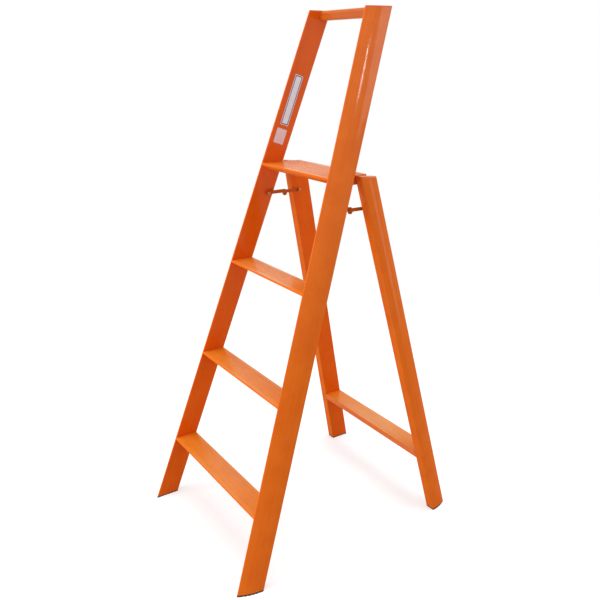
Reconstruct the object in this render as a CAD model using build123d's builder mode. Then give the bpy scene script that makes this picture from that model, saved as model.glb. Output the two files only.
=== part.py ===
from build123d import *
from dataclasses import dataclass
from math import asin, atan, cos, degrees, hypot, radians, sin, sqrt, tan
import os

# Folding platform step ladder, in millimetres and degrees. +Z is up, the climber faces +Y, and the origin is
# on the floor at the middle of the stance. Right-hand pieces are drawn at +X and mirrored for the left.

# Stance and heights
stance_depth = 668.5
front_width = 463.4
first_tread_height = 183.2
tread_pitch = 250.0
tread_count = 3
hoop_height = 362.3

# Front stiles, thin in front and thick behind. Depths are measured level, front to back.
stile_lean = 18.42
stile_taper = 5.56
stile_depth = 62.3
stile_front = 3.5
stile_back = 20.3
stile_bulge = 4.0
stile_wall = 2.0
stile_front_land = 12.0
stile_edge = 1.2

# Rear legs, thick in front and thin behind, standing a little inside the stiles
leg_foot_inset = 11.2
leg_top_inset = 0.5
leg_depth = 55.2
leg_front = 25.5
leg_back = 8.5
leg_bulge = 4.2
leg_wall = 2.0
leg_back_land = 9.0
leg_edge = 1.5

# Treads: flat ribbed top, thin nose, flat land under the back
tread_nose = 4.5
tread_back = 18.0
tread_land = 24.0
tread_bulge = 1.5
tread_top_wall = 2.6
tread_wall = 2.0
tread_hollow_start = 14.0
tread_edge = 1.2

# Platform: a deeper tread that reaches back between the rear legs
platform_depth = 112.0
platform_bow = 2.5
platform_nose = 4.5
platform_thickness = 22.0
platform_fall_start = 24.0
platform_back = 9.0
platform_hollow_start = 14.0
platform_bulge = 2.0
platform_top_wall = 3.0
platform_wall = 2.5
platform_web = 3.0
platform_shoulder = 2.5
platform_edge = 1.5
end_cap_thickness = 2.0

# Anti-slip grooves along the treads and the platform
groove_pitch = 5.0
groove_width = 1.6
groove_depth = 0.6
groove_inset = 9.0

# Grip rail across the top of the stiles
rail_depth = 31.3
rail_drop = 0.4
rail_height = 22.5
rail_wall = 2.5
rail_round = 4.5
rail_crown = 8.0

# Crossbar between the rear legs, thick in front and thin behind
crossbar_height = 179.8
crossbar_front = 18.6
crossbar_back = 6.0
crossbar_land = 27.0
crossbar_bulge = 1.5
crossbar_wall = 2.0
crossbar_hollow_end = 10.0
crossbar_edge = 1.2

# Feet, stile caps and leg heads are plugs with a plate of the member's own outline
foot_sole = 4.0
foot_plug = 32.0
sole_groove_width = 3.0
sole_groove_depth = 1.2
sole_groove_pitch = 9.0
sole_groove_inset = 10.0
cap_plate = 2.5
cap_plug = 18.0
head_plate = 2.5
head_plug = 45.0
head_slope = 6.0
plug_fit = 0.15

# Hinge of the rear frame, an axle through the platform
hinge_inset = 20.0
hinge_cover = 11.7
hinge_sink = 1.0
hinge_gap = 0.8
axle_radius = 5.0
axle_fit = 0.05
axle_reach = 13.0
axle_end_gap = 1.0
bush_wall = 1.5
bush_fit = 0.05
bush_reach = 8.0
bush_gap = 0.3

# Brackets inside the ends of treads, platform, rail and crossbar, and their rivets
bracket_thickness = 3.0
bracket_headroom = 1.4
bracket_flange = 26.0
bracket_edge = 0.6
bracket_room = 4.0
platform_bracket_inset = 14.8
rivet_radius = 2.0
rivet_fit = 0.05
rivet_head_rim = 1.2
rivet_head = 1.2
rivet_tail_rim = 0.9
rivet_tail = 2.2
rivet_gap = 0.8

# Folding stays under the platform
stay_drop = 79.0
stay_stile_inset = 17.4
stay_leg_setback = 19.0
stay_thickness = 2.5
stay_bar = 9.0
stay_bar_rise = 2.0
stay_eye = 5.5
stay_margin = 1.3
stay_gap = 0.4
stay_leg_spacer = 2.5
tab_radius = 6.7
tab_drop = 3.5
stud_radius = 3.0
slide_stud_radius = 1.75
stud_shoulder = 5.0
stud_head_radius = 4.2
stud_head = 1.8
stud_tail_radius = 4.2
stud_tail = 2.5
stud_tail_gap = 0.5
stud_fit = 0.05
slide_fit = 0.15
knuckle_radius = 2.5
knuckle_head_radius = 3.9
knuckle_head = 1.4

# Turns of a stay's front link and of its knuckle for each turn of the rear frame
front_link_ratio = 1.12
knuckle_ratio = 3.0
path_steps = 80

# Room beside a cut
clear = 5.0


def crown(s, span, start, end, bulge, inset=0.0):
    """Height at s of an arc from start to end over a span, swollen by bulge and drawn in by inset."""
    chord = hypot(span, end - start)
    radius = chord**2 / (8 * bulge) + bulge / 2
    centre_s = span / 2 + (radius - bulge) * (end - start) / chord
    centre_t = (start + end) / 2 - (radius - bulge) * span / chord
    return centre_t + sqrt((radius - inset) ** 2 - (s - centre_s) ** 2)


@dataclass
class SideMember:
    """A hollow right-hand stile or leg: flat inner face, convex outer face, leaning and drawn in upwards."""

    half_width: float
    front: float
    run: float
    draw: float
    depth: float
    front_thickness: float
    back_thickness: float
    bulge: float
    wall: float
    front_land: float
    back_land: float
    edge: float

    def inner_x(self, z):
        """Distance of the inner face from the middle of the ladder at a height."""
        return self.half_width - z * self.draw

    def front_y(self, z):
        """Place of the front edge at a height."""
        return self.front + z * self.run

    def inner_plane(self, side=1):
        """Plane of the inner face, facing outwards, on the right (1) or the left (-1)."""
        return Plane((side * self.half_width, 0, 0), z_dir=(side, 0, self.draw))

    def section_plane(self, z):
        """Plane square to the member at a height: x to the back, y outwards, z down the member."""
        axis = Vector(-self.draw, self.run, 1)
        outward = Vector(1, 0, self.draw)
        return Plane((self.inner_x(z), self.front_y(z), z), x_dir=axis.cross(outward), z_dir=-axis)

    def outline(self, z, inset=0.0, front_land=0.0, back_land=0.0):
        """Section at a height, drawn inset by a wall and shortened by solid lands at its edges."""
        plane = self.section_plane(z)
        span = self.depth * plane.x_dir.Y
        ends = (front_land, span - back_land)
        stops = (ends[0], sum(ends) / 2, ends[1])
        sizes = (span, self.front_thickness, self.back_thickness, self.bulge, inset)
        arc = [(s, crown(s, *sizes)) for s in stops]
        with BuildSketch(plane) as section:
            with BuildLine():
                Polyline(arc[2], (ends[1], inset), (ends[0], inset), arc[0])
                ThreePointArc(*arc)
            make_face()
            if inset == 0:
                fillet(section.vertices(), self.edge)
        return section.sketch

    def between(self, low, high, inset=0.0):
        """Length of the member between two level cuts, as its outline or, with an inset, as its core."""
        lands = (self.front_land, self.back_land) if inset else (0.0, 0.0)
        top = high + self.depth
        length = (top - low + self.depth) * Vector(self.draw, self.run, 1).length
        with BuildPart() as piece:
            extrude(self.outline(top, inset, *lands), amount=length)
            split(bisect_by=Plane.XY.offset(high), keep=Keep.BOTTOM)
            split(bisect_by=Plane.XY.offset(low), keep=Keep.TOP)
        return piece.part


# Places that follow from the sizes above
stile_run = tan(radians(stile_lean))
stile = SideMember(
    half_width=front_width / 2,
    front=-stance_depth / 2,
    run=stile_run,
    draw=tan(radians(stile_taper)),
    depth=stile_depth,
    front_thickness=stile_front,
    back_thickness=stile_back,
    bulge=stile_bulge,
    wall=stile_wall,
    front_land=stile_front_land,
    back_land=stile_wall,
    edge=stile_edge,
)
platform_height = first_tread_height + tread_count * tread_pitch
overall_height = platform_height + hoop_height
platform_nose_y = stile.front_y(platform_height)
hinge_setback = platform_depth - hinge_inset
hinge_drop = platform_thickness / 2 + hinge_sink
hinge_y = platform_nose_y + hinge_setback
hinge_z = platform_height - hinge_drop
leg_foot_x = front_width / 2 - leg_foot_inset
leg_top_x = stile.inner_x(platform_height) - leg_top_inset
leg_foot_y = stance_depth / 2 - leg_depth
leg_run = (hinge_y - hinge_cover - leg_foot_y) / hinge_z
leg = SideMember(
    half_width=leg_foot_x,
    front=leg_foot_y,
    run=leg_run,
    draw=(leg_foot_x - leg_top_x) / platform_height,
    depth=leg_depth,
    front_thickness=leg_front,
    back_thickness=leg_back,
    bulge=leg_bulge,
    wall=leg_wall,
    front_land=leg_wall,
    back_land=leg_back_land,
    edge=leg_edge,
)
fold_angle = stile_lean + degrees(atan(-leg_run))
platform_end_x = leg.inner_x(platform_height) - hinge_gap
axle_end_x = leg.inner_x(hinge_z) + axle_reach
bush_end_x = leg.inner_x(hinge_z) + bush_reach
bush_radius = axle_radius + axle_fit + bush_wall

rivet_head_radius = rivet_radius + rivet_head_rim
rivet_tail_radius = rivet_radius + rivet_tail_rim
rivet_spacing = 2 * rivet_head_radius + rivet_gap
bracket_width = rivet_spacing + 2 * (rivet_head_radius + bracket_edge)

stay_z = platform_height - stay_drop
stay_stile_y = stile.front_y(stay_z) + stile_depth - stay_stile_inset
stay_leg_y = leg.front_y(stay_z) + stay_leg_setback
stay_link = (stay_leg_y - stay_stile_y) / 2
stay_knuckle_y = stay_stile_y + stay_link
rear_link_x = leg.inner_x(stay_z) - stay_leg_spacer - slide_fit - stay_thickness
front_link_x = rear_link_x - stay_gap - stay_thickness


def rod(radius, start, end, y, z, mode=Mode.ADD):
    """A round bar along X between two x positions."""
    with Locations(Plane((start, y, z), x_dir=(0, 1, 0), z_dir=(1, 0, 0))):
        Cylinder(radius, end - start, align=(Align.CENTER, Align.CENTER, Align.MIN), mode=mode)


def dome(radius, height):
    """A domed head, its flat side at the local origin and its crown towards the local -z."""
    ball = (height**2 + radius**2) / (2 * height)
    rim = asin((ball - height) / ball)
    with Locations((0, 0, ball - height)):
        Sphere(ball, arc_size1=-90, arc_size2=-degrees(rim), align=None)


def head(radius, height, x, y, z, side):
    """A domed head on a bar along X, its crown towards +X (1) or -X (-1)."""
    with Locations(Plane((x, y, z), x_dir=(0, 1, 0), z_dir=(-side, 0, 0))):
        dome(radius, height)


def rivet_shape(grip):
    """A set rivet, head below the start of its grip and tail beyond the end, along the local z."""
    up = (Align.CENTER, Align.CENTER, Align.MIN)
    dome(rivet_head_radius, rivet_head)
    Cylinder(rivet_radius, grip + rivet_tail, align=up)
    with Locations((0, 0, grip)):
        Cylinder(rivet_tail_radius, rivet_tail, align=up)


def drill(planes, depth):
    """Rivet holes of a depth both ways from each plane."""
    with Locations(*planes):
        Cylinder(rivet_radius + rivet_fit, 2 * depth, mode=Mode.SUBTRACT)


@dataclass
class BracketSeat:
    """Where a bracket stands: against a member's inner face, on the inside of a bar's bottom skin."""

    member: SideMember
    floor: float
    skin: float
    ceiling: float
    y: float

    def inset_x(self, z):
        """The bracket's own inner face at a height."""
        return self.member.inner_x(z) - bracket_thickness / cos(atan(self.member.draw))

    def wall_rivets(self):
        """Planes of the two rivets into the member, on the bracket, facing the member."""
        z = self.floor + bracket_thickness + rivet_gap + rivet_head_radius
        places = (self.y - rivet_spacing / 2, self.y + rivet_spacing / 2)
        return [Plane((self.inset_x(z), y, z), z_dir=(1, 0, self.member.draw)) for y in places]

    def skin_rivet(self):
        """Plane of the rivet from below, on the bar's underside, facing up."""
        x = self.inset_x(self.floor) - (bracket_flange - bracket_thickness) / 2
        return Plane((x, self.y, self.floor - self.skin))

    def bracket(self):
        """The angle bracket, drilled for its rivets."""
        foot = self.floor + bracket_thickness
        top = self.ceiling - bracket_headroom
        tip = self.member.inner_x(self.floor) - bracket_flange
        with BuildPart() as angle:
            with BuildSketch(Plane((0, self.y + bracket_width / 2, 0), x_dir=(1, 0, 0), z_dir=(0, -1, 0))):
                with BuildLine():
                    Polyline(
                        (tip, self.floor),
                        (self.member.inner_x(self.floor), self.floor),
                        (self.member.inner_x(top), top),
                        (self.inset_x(top), top),
                        (self.inset_x(foot), foot),
                        (tip, foot),
                        close=True,
                    )
                make_face()
            extrude(amount=bracket_width)
            drill(self.wall_rivets(), 2 * bracket_thickness)
            drill([self.skin_rivet()], self.skin + 2 * bracket_thickness)
        return angle.part


# Places in each bar's section, behind and above its front top edge
tread_front_y = -tread_nose * stile_run
tread_land_end = stile_depth - tread_back * stile_run
tread_land_start = tread_land_end - tread_land
tread_span = tread_land_start - tread_front_y
tread_floor = tread_wall - tread_back
tread_floor_end = stile_depth + tread_floor * stile_run - tread_wall
tread_bracket_place = (tread_land_start + tread_floor_end) / 2

platform_front_y = -platform_nose * stile_run
platform_floor = platform_wall - platform_thickness
platform_bracket_place = stile_depth - platform_bracket_inset
platform_rise_start = platform_bracket_place - bracket_width / 2 - bracket_room
platform_span = platform_rise_start - platform_front_y
platform_web_place = platform_bracket_place + bracket_width / 2 + bracket_room
platform_deepest = platform_depth + platform_bow
platform_fall = platform_deepest - platform_fall_start
port_front = hinge_setback - axle_radius - platform_web

rail_setback = stile_depth - rail_depth
rail_foot = rail_drop + rail_height
rail_floor = rail_wall - rail_foot
rail_floor_end = stile_depth + rail_floor * stile_run - rail_wall
rail_bracket_place = (rail_setback + rail_wall + rail_floor_end) / 2

crossbar_front_y = -crossbar_front * leg_run
crossbar_land_end = crossbar_front_y + crossbar_land
crossbar_back_y = leg_depth - crossbar_back * leg_run
crossbar_span = crossbar_back_y - crossbar_land_end
crossbar_floor = crossbar_wall - crossbar_front
crossbar_floor_start = crossbar_wall + crossbar_floor * leg_run
crossbar_hollow_back = leg_depth - crossbar_hollow_end
crossbar_bracket_place = (crossbar_floor_start + crossbar_land_end) / 2

# Seats of the brackets
tread_heights = [first_tread_height + i * tread_pitch for i in range(tread_count)]
tread_seats = [
    BracketSeat(
        member=stile,
        floor=height + tread_floor,
        skin=tread_wall,
        ceiling=height - tread_top_wall,
        y=stile.front_y(height) + tread_bracket_place,
    )
    for height in tread_heights
]
platform_seat = BracketSeat(
    member=stile,
    floor=platform_height + platform_floor,
    skin=platform_wall,
    ceiling=platform_height - platform_top_wall,
    y=platform_nose_y + platform_bracket_place,
)
rail_seat = BracketSeat(
    member=stile,
    floor=overall_height + rail_floor,
    skin=rail_wall,
    ceiling=overall_height - rail_drop - rail_wall,
    y=stile.front_y(overall_height) + rail_bracket_place,
)
crossbar_seat = BracketSeat(
    member=leg,
    floor=crossbar_height + crossbar_floor,
    skin=crossbar_wall,
    ceiling=crossbar_height - crossbar_wall,
    y=leg.front_y(crossbar_height) + crossbar_bracket_place,
)
stile_seats = [*tread_seats, platform_seat, rail_seat]


def twin_skin_rivets(seats):
    """Planes of the rivets from below at both ends of each bar."""
    places = [seat.skin_rivet().origin for seat in seats]
    return [Plane((side * place.X, place.Y, place.Z)) for place in places for side in (1, -1)]


def mirrored(part):
    """The left-hand twin of a right-hand piece."""
    with BuildPart() as twin:
        mirror(part, about=Plane.YZ)
    return twin.part


def save(part, name):
    """Write one piece as its own STEP file."""
    part.label = name
    export_step(part, f"parts/{name}.step")


def save_pair(part, name):
    """Write a right-hand piece and its left-hand twin."""
    save(part, f"{name}_right")
    save(mirrored(part), f"{name}_left")


def trim_to(member):
    """Cut the bar being built to the inner faces of the two members that it stands between."""
    split(bisect_by=member.inner_plane(1), keep=Keep.BOTTOM)
    split(bisect_by=member.inner_plane(-1), keep=Keep.BOTTOM)


def groove_places(depth):
    """Distances behind the nose of the anti-slip grooves on a top of a depth."""
    count = int((depth - 2 * groove_inset) / groove_pitch) + 1
    first = (depth - (count - 1) * groove_pitch) / 2
    return [(first + i * groove_pitch, 0) for i in range(count)]


def across(y, z):
    """Plane of a bar's section, x to the back and y up, with the bar's front top edge at its origin."""
    return Plane((0, y, z), x_dir=(0, 1, 0), z_dir=(1, 0, 0))


os.makedirs("parts", exist_ok=True)

# Front stiles
with BuildPart() as front_stile:
    add(stile.between(foot_sole, overall_height - cap_plate))
    add(stile.between(foot_sole - clear, overall_height + clear, stile_wall), mode=Mode.SUBTRACT)
    for seat in stile_seats:
        drill(seat.wall_rivets(), bracket_thickness + 2 * stile_wall)
    wall_x = stile.inner_x(stay_z)
    hole_radius = stud_radius + stud_fit
    rod(hole_radius, wall_x - clear, wall_x + stile_wall + clear, stay_stile_y, stay_z, Mode.SUBTRACT)
save_pair(front_stile.part, "front_stile")


# Treads
def tread_underside(y, inset=0.0):
    """Height of a tread's curved underside at a distance behind the nose, below the tread's top."""
    return -crown(y - tread_front_y, tread_span, tread_nose, tread_back, tread_bulge, inset)


for number, height in enumerate(tread_heights, start=1):
    with BuildPart() as tread:
        with BuildSketch(across(stile.front_y(height), height)) as tread_section:
            with BuildLine():
                Polyline((tread_land_start, -tread_back), (tread_land_end, -tread_back), (stile_depth, 0))
                Polyline((stile_depth, 0), (0, 0), (tread_front_y, -tread_nose))
                arc_middle = tread_front_y + tread_span / 2
                ThreePointArc(
                    (tread_front_y, -tread_nose),
                    (arc_middle, tread_underside(arc_middle)),
                    (tread_land_start, -tread_back),
                )
            make_face()
            sharp = tread_section.vertices().sort_by(Axis.X)
            fillet([*sharp[:2], *sharp[-2:]], tread_edge)
            with BuildLine():
                hollow_front = (tread_hollow_start, tread_underside(tread_hollow_start, tread_wall))
                hollow_middle = (tread_hollow_start + tread_land_start) / 2
                ThreePointArc(
                    hollow_front,
                    (hollow_middle, tread_underside(hollow_middle, tread_wall)),
                    (tread_land_start, tread_floor),
                )
                Polyline(
                    (tread_land_start, tread_floor),
                    (tread_floor_end, tread_floor),
                    (stile_depth - tread_top_wall * stile_run - tread_wall, -tread_top_wall),
                    (tread_hollow_start, -tread_top_wall),
                    hollow_front,
                )
            make_face(mode=Mode.SUBTRACT)
            with Locations(*groove_places(stile_depth)):
                Rectangle(groove_width, 2 * groove_depth, mode=Mode.SUBTRACT)
        extrude(amount=front_width, both=True)
        trim_to(stile)
        drill(twin_skin_rivets([tread_seats[number - 1]]), 2 * tread_wall)
    save(tread.part, f"tread_{number}")
    save_pair(tread_seats[number - 1].bracket(), f"tread_{number}_bracket")


# Platform, with a bowed back edge, narrower behind the stiles, and a port for the hinge axle
def platform_underside(y, inset=0.0):
    """Height of the platform's rising front underside at a distance behind the nose, below its top."""
    place = y - platform_front_y
    return -crown(place, platform_span, platform_nose, platform_thickness, platform_bulge, inset)


def platform_tail(y, inset=0.0):
    """Height of the platform's falling back underside at a distance behind the nose, below its top."""
    place = y - platform_fall
    return -crown(place, platform_fall_start, platform_thickness, platform_back, platform_bulge, inset)


def platform_profile():
    """The platform's outer section, seen from the end."""
    with BuildSketch(across(platform_nose_y, platform_height)) as profile:
        with BuildLine():
            rise_middle = platform_front_y + platform_span / 2
            fall_middle = platform_fall + platform_fall_start / 2
            Polyline((platform_front_y, -platform_nose), (0, 0), (platform_deepest, 0))
            Line((platform_deepest, 0), (platform_deepest, -platform_back))
            ThreePointArc(
                (platform_deepest, -platform_back),
                (fall_middle, platform_tail(fall_middle)),
                (platform_fall, -platform_thickness),
            )
            Line((platform_fall, -platform_thickness), (platform_rise_start, -platform_thickness))
            ThreePointArc(
                (platform_rise_start, -platform_thickness),
                (rise_middle, platform_underside(rise_middle)),
                (platform_front_y, -platform_nose),
            )
        make_face()
        fillet(profile.vertices().sort_by(Axis.X)[:2], platform_edge)
    return profile.sketch


def bow_cut():
    """Cut the platform's back edge to its gentle bow."""
    corner = platform_end_x + clear
    back = platform_nose_y + platform_depth
    with BuildSketch(Plane.XY.offset(platform_height + clear)) as bow:
        with BuildLine():
            ThreePointArc((-corner, back), (0, back + platform_bow), (corner, back))
            Polyline(
                (corner, back),
                (corner, back + platform_depth),
                (-corner, back + platform_depth),
                (-corner, back),
            )
        make_face()
    extrude(bow.sketch, amount=-platform_thickness - 2 * clear, mode=Mode.SUBTRACT)


def platform_flank(start, end):
    """Block over the platform's back half between two x positions on the right."""
    low = platform_height - platform_thickness - clear
    high = platform_height + clear
    front = platform_nose_y + stile_depth + platform_shoulder
    back = platform_nose_y + platform_deepest + clear
    with BuildPart() as flank:
        with Locations((start, front, low)):
            Box(end - start, back - front, high - low, align=(Align.MIN, Align.MIN, Align.MIN))
    return flank.part


with BuildPart() as platform:
    extrude(platform_profile(), amount=front_width, both=True)
    with BuildSketch(across(platform_nose_y, platform_height)):
        with BuildLine():
            hollow_front = (platform_hollow_start, platform_underside(platform_hollow_start, platform_wall))
            hollow_middle = (platform_hollow_start + platform_rise_start) / 2
            ThreePointArc(
                hollow_front,
                (hollow_middle, platform_underside(hollow_middle, platform_wall)),
                (platform_rise_start, platform_floor),
            )
            Polyline(
                (platform_rise_start, platform_floor),
                (platform_web_place, platform_floor),
                (platform_web_place, -platform_top_wall),
                (platform_hollow_start, -platform_top_wall),
                hollow_front,
            )
        make_face()
        with BuildLine():
            Polyline(
                (platform_web_place + platform_web, platform_floor),
                (port_front, platform_floor),
                (port_front, -platform_top_wall),
                (platform_web_place + platform_web, -platform_top_wall),
                close=True,
            )
        make_face()
        with Locations((hinge_setback, -hinge_drop)):
            Circle(axle_radius + axle_fit)
        with Locations(*groove_places(platform_depth)):
            Rectangle(groove_width, 2 * groove_depth)
    extrude(amount=front_width, both=True, mode=Mode.SUBTRACT)
    trim_to(stile)
    bow_cut()
    flank = platform_flank(platform_end_x - end_cap_thickness, front_width)
    add(flank, mode=Mode.SUBTRACT)
    add(mirrored(flank), mode=Mode.SUBTRACT)
    drill(twin_skin_rivets([platform_seat]), 2 * platform_wall)
save(platform.part, "platform")
save_pair(platform_seat.bracket(), "platform_bracket")

# Caps on the ends of the platform's back half
with BuildPart() as platform_end_cap:
    extrude(platform_profile(), amount=platform_end_x)
    bow_cut()
    add(platform_flank(platform_end_x - end_cap_thickness, platform_end_x), mode=Mode.INTERSECT)
    rod(axle_radius + axle_fit, 0, front_width, hinge_y, hinge_z, Mode.SUBTRACT)
save_pair(platform_end_cap.part, "platform_end_cap")

# Grip rail
with BuildPart() as grip_rail:
    with BuildSketch(across(stile.front_y(overall_height), overall_height)) as rail_section:
        with BuildLine():
            Polyline(
                (rail_setback, -rail_drop),
                (stile_depth - rail_drop * stile_run, -rail_drop),
                (stile_depth - rail_foot * stile_run, -rail_foot),
                (rail_setback, -rail_foot),
                close=True,
            )
        make_face()
        fillet(rail_section.vertices().sort_by(Axis.Y)[2:], rail_crown)
        fillet(rail_section.vertices().sort_by(Axis.Y)[:2], rail_round)
        offset(amount=-rail_wall, mode=Mode.SUBTRACT)
    extrude(amount=front_width, both=True)
    trim_to(stile)
    drill(twin_skin_rivets([rail_seat]), 2 * rail_wall)
save(grip_rail.part, "grip_rail")
save_pair(rail_seat.bracket(), "grip_rail_bracket")


def foot_for(member):
    """A rubber foot: a grooved sole of the member's outline and a plug that fills its end."""
    grooves = int((member.depth - 2 * sole_groove_inset) / sole_groove_pitch) + 1
    first = member.front_y(0) + (member.depth - (grooves - 1) * sole_groove_pitch) / 2
    places = [(member.inner_x(0), first + i * sole_groove_pitch, 0) for i in range(grooves)]
    with BuildPart() as foot:
        add(member.between(0, foot_sole))
        add(member.between(foot_sole, foot_sole + foot_plug, member.wall + plug_fit))
        with Locations(*places):
            Box(member.depth, sole_groove_width, 2 * sole_groove_depth, mode=Mode.SUBTRACT)
    return foot.part


save_pair(foot_for(stile), "front_foot")
save_pair(foot_for(leg), "rear_foot")

# Caps that close the tops of the stiles
with BuildPart() as stile_cap:
    cap_seat = overall_height - cap_plate
    add(stile.between(cap_seat, overall_height))
    add(stile.between(cap_seat - cap_plug, cap_seat, stile_wall + plug_fit))
    for plane in rail_seat.wall_rivets():
        with Locations(plane):
            Cylinder(rivet_tail_radius + plug_fit, 4 * stile_back, mode=Mode.SUBTRACT)
save_pair(stile_cap.part, "stile_cap")

# Rear legs, their tops sloping down to the back
head_facing = (0, sin(radians(head_slope)), cos(radians(head_slope)))
head_top = Plane((0, leg.front_y(platform_height), platform_height), x_dir=(1, 0, 0), z_dir=head_facing)
head_seat = head_top.offset(-head_plate)
head_ends = (platform_height - head_plug, platform_height + clear)
with BuildPart() as rear_leg:
    add(leg.between(foot_sole, head_ends[1]))
    split(bisect_by=head_seat, keep=Keep.BOTTOM)
    add(leg.between(foot_sole - clear, head_ends[1] + clear, leg_wall), mode=Mode.SUBTRACT)
    drill(crossbar_seat.wall_rivets(), bracket_thickness + 2 * leg_wall)
    wall_x = leg.inner_x(stay_z)
    hole_radius = slide_stud_radius + stud_fit
    rod(hole_radius, wall_x - clear, wall_x + leg_wall + clear, stay_leg_y, stay_z, Mode.SUBTRACT)
    rod(bush_radius + bush_fit, platform_end_x, bush_end_x, hinge_y, hinge_z, Mode.SUBTRACT)
save_pair(rear_leg.part, "rear_leg")

# Leg heads, bored for the axle and counterbored for its bush
with BuildPart() as head_core:
    add(leg.between(*head_ends, leg_wall + plug_fit))
    split(bisect_by=head_seat, keep=Keep.BOTTOM)
with BuildPart() as leg_head:
    add(leg.between(*head_ends))
    split(bisect_by=head_top, keep=Keep.BOTTOM)
    split(bisect_by=head_seat, keep=Keep.TOP)
    add(head_core.part)
    rod(bush_radius + bush_fit, 0, bush_end_x, hinge_y, hinge_z, Mode.SUBTRACT)
    rod(axle_radius + axle_fit, 0, axle_end_x + axle_end_gap, hinge_y, hinge_z, Mode.SUBTRACT)
save_pair(leg_head.part, "rear_leg_head")

# Hinge axle and its bushes
with BuildPart() as hinge_axle:
    rod(axle_radius, -axle_end_x, axle_end_x, hinge_y, hinge_z)
save(hinge_axle.part, "hinge_axle")

with BuildPart() as hinge_bush:
    rod(bush_radius, platform_end_x + bush_gap, bush_end_x, hinge_y, hinge_z)
    rod(axle_radius + axle_fit, 0, front_width, hinge_y, hinge_z, Mode.SUBTRACT)
save_pair(hinge_bush.part, "hinge_bush")


# Rear crossbar
def crossbar_underside(y, inset=0.0):
    """Height of the crossbar's curved underside at a distance behind its front edge, below its top."""
    place = y - crossbar_land_end
    return -crown(place, crossbar_span, crossbar_front, crossbar_back, crossbar_bulge, inset)


with BuildPart() as rear_crossbar:
    with BuildSketch(across(leg.front_y(crossbar_height), crossbar_height)) as crossbar_section:
        with BuildLine():
            arc_middle = (crossbar_land_end + crossbar_back_y) / 2
            Polyline((crossbar_back_y, -crossbar_back), (leg_depth, 0), (0, 0))
            Polyline((0, 0), (crossbar_front_y, -crossbar_front), (crossbar_land_end, -crossbar_front))
            ThreePointArc(
                (crossbar_land_end, -crossbar_front),
                (arc_middle, crossbar_underside(arc_middle)),
                (crossbar_back_y, -crossbar_back),
            )
        make_face()
        sharp = crossbar_section.vertices().sort_by(Axis.X)
        fillet([*sharp[:2], *sharp[-2:]], crossbar_edge)
        with BuildLine():
            hollow_back = (crossbar_hollow_back, crossbar_underside(crossbar_hollow_back, crossbar_wall))
            hollow_middle = (crossbar_land_end + crossbar_hollow_back) / 2
            ThreePointArc(
                (crossbar_land_end, crossbar_floor),
                (hollow_middle, crossbar_underside(hollow_middle, crossbar_wall)),
                hollow_back,
            )
            Polyline(
                hollow_back,
                (crossbar_hollow_back, -crossbar_wall),
                (crossbar_wall - crossbar_wall * leg_run, -crossbar_wall),
                (crossbar_floor_start, crossbar_floor),
                (crossbar_land_end, crossbar_floor),
            )
        make_face(mode=Mode.SUBTRACT)
    extrude(amount=front_width, both=True)
    trim_to(leg)
    drill(twin_skin_rivets([crossbar_seat]), 2 * crossbar_wall)
save(rear_crossbar.part, "rear_crossbar")
save_pair(crossbar_seat.bracket(), "crossbar_bracket")


def wall_rivets(seats):
    """Rivets through the brackets and the members' inner walls, on the right-hand side."""
    with BuildPart() as rivets:
        for seat in seats:
            with Locations(*seat.wall_rivets()):
                rivet_shape(bracket_thickness + seat.member.wall)
    return rivets.part


def skin_rivets(seats):
    """Rivets from below through the bars' bottom skins into their brackets, at both ends."""
    with BuildPart() as rivets:
        for seat in seats:
            with Locations(*twin_skin_rivets([seat])):
                rivet_shape(seat.skin + bracket_thickness)
    return rivets.part


save_pair(wall_rivets(stile_seats), "stile_rivets")
save_pair(wall_rivets([crossbar_seat]), "leg_rivets")
save(skin_rivets(stile_seats), "tread_rivets")
save(skin_rivets([crossbar_seat]), "crossbar_rivets")


def slide_path():
    """Path of the leg's stud in the rear link's own frame, from its rest place, as the rear frame folds."""
    path = []
    for i in range(path_steps + 1):
        turn = radians(fold_angle) * i / path_steps
        front_turn = front_link_ratio * turn
        rear_turn = (knuckle_ratio - front_link_ratio) * turn
        arm = (stay_leg_y - hinge_y, stay_z - hinge_z)
        stud_y = hinge_y + arm[0] * cos(turn) + arm[1] * sin(turn)
        stud_z = hinge_z - arm[0] * sin(turn) + arm[1] * cos(turn)
        away_y = stud_y - stay_stile_y - stay_link * cos(front_turn)
        away_z = stud_z - stay_z - stay_link * sin(front_turn)
        along = away_y * cos(rear_turn) - away_z * sin(rear_turn)
        aside = away_y * sin(rear_turn) + away_z * cos(rear_turn)
        path.append((along - stay_link, aside))
    return path


# Front links of the stays, with the finger tab under the knuckle
with BuildPart() as stay_front_link:
    with BuildSketch(across(stay_stile_y, stay_z).offset(front_link_x)):
        with Locations((stay_link / 2, stay_bar_rise)):
            SlotCenterToCenter(stay_link, stay_bar)
        with Locations((0, 0), (stay_link, 0)):
            Circle(stay_eye)
        with Locations((stay_link, -tab_drop)):
            Circle(tab_radius)
        Circle(stud_radius + stud_fit, mode=Mode.SUBTRACT)
        with Locations((stay_link, 0)):
            Circle(knuckle_radius + stud_fit, mode=Mode.SUBTRACT)
    extrude(amount=stay_thickness)
save_pair(stay_front_link.part, "stay_front_link")

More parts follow.
